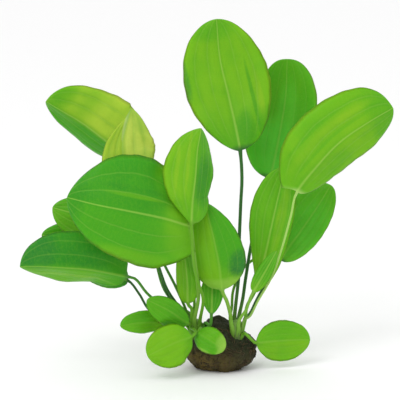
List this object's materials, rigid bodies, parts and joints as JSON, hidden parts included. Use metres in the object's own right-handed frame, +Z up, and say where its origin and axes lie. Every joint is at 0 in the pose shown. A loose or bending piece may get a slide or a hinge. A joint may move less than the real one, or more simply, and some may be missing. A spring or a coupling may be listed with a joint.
{
  "type": "echinodorus plant",
  "caption": "Leafy rosette water plant with broad oval stalked leaves, small spoon-shaped leaves at its foot, and a dark root ball cut flat below to stand on.",
  "frame": {"origin": "centre of the root ball's flat underside, on the surface that the plant rests on", "axes": "+Z up along the rosettes, +X to the right of the pictured side, -Y towards the viewer"},
  "size_m": [0.2396, 0.1125, 0.227],
  "materials": {
    "leaf_light": "satin",
    "leaf_middle": "satin",
    "leaf_dark": "satin",
    "crown": "satin",
    "root_ball": "matte"
  },
  "bodies": {
    "root": {"root_ball": "root_ball", "left_crown": "crown", "right_crown": "crown", "top_leaf": "leaf_light", "top_back_leaf": "leaf_dark", "right_leaf": "leaf_light", "right_back_leaf": "leaf_dark", "right_inner_leaf": "leaf_light", "right_young_leaf": "leaf_middle", "right_rear_leaf": "leaf_middle", "middle_leaf": "leaf_middle", "middle_young_leaf": "leaf_middle", "upright_leaf": "leaf_light", "front_leaf": "leaf_middle", "upper_left_leaf": "leaf_light", "upper_left_young_leaf": "leaf_light", "lower_left_leaf": "leaf_dark", "lower_left_back_leaf": "leaf_dark", "far_left_leaf": "leaf_dark", "left_inner_leaf": "leaf_light", "left_rear_leaf": "leaf_middle", "left_young_leaf": "leaf_middle", "low_left_leaf": "leaf_middle", "low_outer_leaf": "leaf_middle", "low_front_leaf": "leaf_light", "low_middle_leaf": "leaf_light", "low_right_leaf": "leaf_light"}
  },
  "joints": []
}
